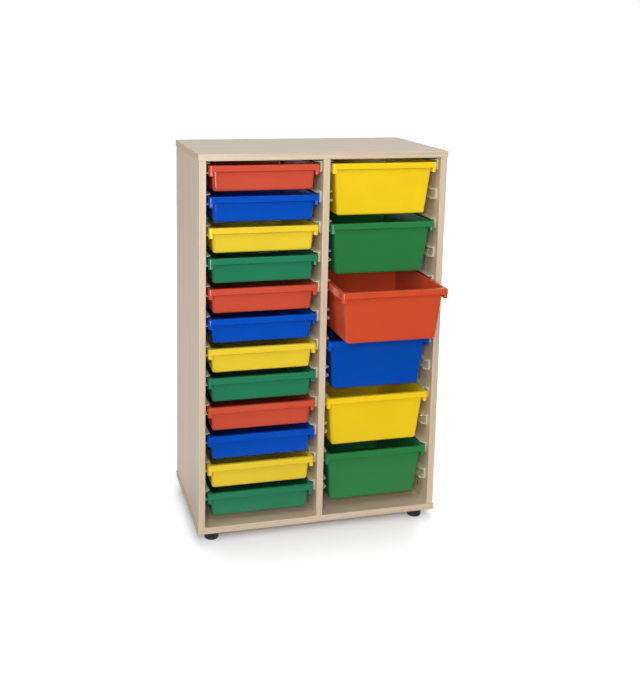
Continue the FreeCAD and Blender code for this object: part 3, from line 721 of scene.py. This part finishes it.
# painted light: the floor under the front edge glows at least this much, by its y alone
painted_edge_light = add(tree, "ShaderNodeMapRange", {"Value": y, **PAINTED_EDGE_LIGHT}).outputs[0]
painted_near_lift = add(tree, "ShaderNodeMath", {0: painted_near_lift, 1: painted_edge_light},
                operation="MAXIMUM").outputs[0]
far = add(tree, "ShaderNodeVectorMath", {0: spot}, operation="LENGTH").outputs["Value"]
far_lift = add(tree, "ShaderNodeMapRange", {"Value": far, **FAR_LIFT}).outputs[0]
seen_lift = add(tree, "ShaderNodeMath", {0: painted_near_lift, 1: far_lift}, operation="ADD").outputs[0]
seen_lift = add(tree, "ShaderNodeMath", {0: seen, 1: seen_lift},
                operation="MULTIPLY").outputs[0]
mirrored_lift = add(tree, "ShaderNodeMath", {0: mirrored, 1: behind},
                    operation="MULTIPLY").outputs[0]
lift = add(tree, "ShaderNodeEmission",
           {"Strength": weighted(tree, [(REFLECTED_LIFT, mirrored_lift), (1.0, seen_lift)])})
both = add(tree, "ShaderNodeAddShader", {0: matt.outputs[0], 1: lift.outputs[0]})
add(tree, "ShaderNodeOutputMaterial", {"Surface": both.outputs[0]})
mesh.materials.append(mat)


# ---- Surroundings and lamps ------------------------------------------------------------------
# Reflections find a white room behind the unit and a dark one in front. The key softbox stands
# front left; weaker ones hang high in front, over the top and to the left, and fill in from
# the right and the rear. The corner one only draws highlights. Places are in metres.

AMBIENT, AMBIENT_COLOUR = 0.09, "#FFEBCF"
ROOM = {"From Min": -0.3, "From Max": 0.3, "To Min": 0.02, "To Max": 0.84}      # by heading
UNIT_FRONT, UNIT_MIDDLE = (0.0, -0.1, 0.6), (0.1, 0.0, 0.55)

world = bpy.data.worlds.new("studio_air")
bpy.context.scene.world = world
world.use_nodes = True
tree = world.node_tree
tree.nodes.clear()
direction = add(tree, "ShaderNodeTexCoord").outputs["Generated"]
heading = add(tree, "ShaderNodeSeparateXYZ", {"Vector": direction}).outputs["Y"]
room = add(tree, "ShaderNodeMapRange", {"Value": heading, **ROOM}).outputs[0]
mirrored = seen_by(tree, "Is Glossy Ray")
seen = seen_by(tree, "Is Camera Ray", "Is Transmission Ray")
strength = add(tree, "ShaderNodeMix", {0: mirrored, 2: AMBIENT, 3: room}).outputs[0]
strength = add(tree, "ShaderNodeMix", {0: seen, 2: strength, 3: 1.0}).outputs[0]
colour = add(tree, "ShaderNodeMix",
             {0: seen_by(tree, "Is Glossy Ray", "Is Camera Ray", "Is Transmission Ray"),
              6: AMBIENT_COLOUR, 7: "#FFFFFF"}, data_type="RGBA").outputs[2]
air = add(tree, "ShaderNodeBackground", {"Color": colour, "Strength": strength})
add(tree, "ShaderNodeOutputWorld", {"Surface": air.outputs[0]})


def softbox(name, place, target, size, radiance, diffuse=True, colour="#FFFFFF"):
    """Rectangular lamp at a place, facing a target; its power is radiance x area x pi."""
    lamp = bpy.data.lights.new(name, "AREA")
    lamp.shape, (lamp.size, lamp.size_y) = "RECTANGLE", size
    lamp.energy = radiance * size[0] * size[1] * math.pi
    lamp.color = linear(colour)[:3]
    box = bpy.data.objects.new(name, lamp)
    bpy.context.scene.collection.objects.link(box)
    aim = (Vector(target) - Vector(place)).to_track_quat("-Z", "Y").to_matrix().to_4x4()
    box.matrix_world = Matrix.Translation(place) @ aim
    box.visible_camera = False
    box.visible_diffuse = diffuse


softbox("key_softbox", (-1.85, -5.05, 2.40), UNIT_FRONT, (2.2, 2.0), 12.9)
softbox("high_softbox", (-0.6, -2.4, 3.3), UNIT_FRONT, (1.6, 1.2), 3.0)
softbox("overhead_softbox", (0.8, 0.5, 3.2), (0.1, 0.3, 0.0), (2.0, 1.2), 1.8)
softbox("side_softbox", (-3.5, -1.1, 2.6), (-0.2, 0.0, 0.7), (2.0, 2.0), 3.5)
softbox("corner_softbox", (-0.80, -2.40, 0.85), UNIT_FRONT, (1.0, 1.3), 12.0, diffuse=False)
softbox("rear_softbox", (3.2, 3.4, 1.3), UNIT_MIDDLE, (2.0, 1.6), 10.0)
softbox("fill_softbox", (2.4, -2.6, 1.2), UNIT_MIDDLE, (1.0, 1.6), 3.4, colour="#FFEFD8")


# ---- Camera ----------------------------------------------------------------------------------
# It stands front left of the unit at eye height, turned to the right and tilted down. Its lens
# shift places the unit in the frame.

LENS, SENSOR, SHIFT = 51.571, 36.0, (0.06029, -0.20025)
STATION = Vector((-0.80951, -2.69792, 1.40909))
TURN, TILT, ROLL = (math.radians(angle) for angle in (14.7629, -9.4693, 0.8613))

ahead = Vector((math.sin(TURN) * math.cos(TILT), math.cos(TURN) * math.cos(TILT),
                math.sin(TILT)))
level_right = ahead.cross(Vector((0, 0, 1))).normalized()
level_up = level_right.cross(ahead)
right = level_right * math.cos(ROLL) + level_up * math.sin(ROLL)
up = level_up * math.cos(ROLL) - level_right * math.sin(ROLL)
aim = Matrix((right, up, -ahead)).transposed().to_4x4()
camera = bpy.data.objects.new("camera", bpy.data.cameras.new("camera"))
camera.data.lens, camera.data.sensor_width = LENS, SENSOR
camera.data.shift_x, camera.data.shift_y = SHIFT
camera.matrix_world = Matrix.Translation(STATION) @ aim
bpy.context.scene.collection.objects.link(camera)
bpy.context.scene.camera = camera
bpy.context.scene.view_settings.view_transform = "Standard"
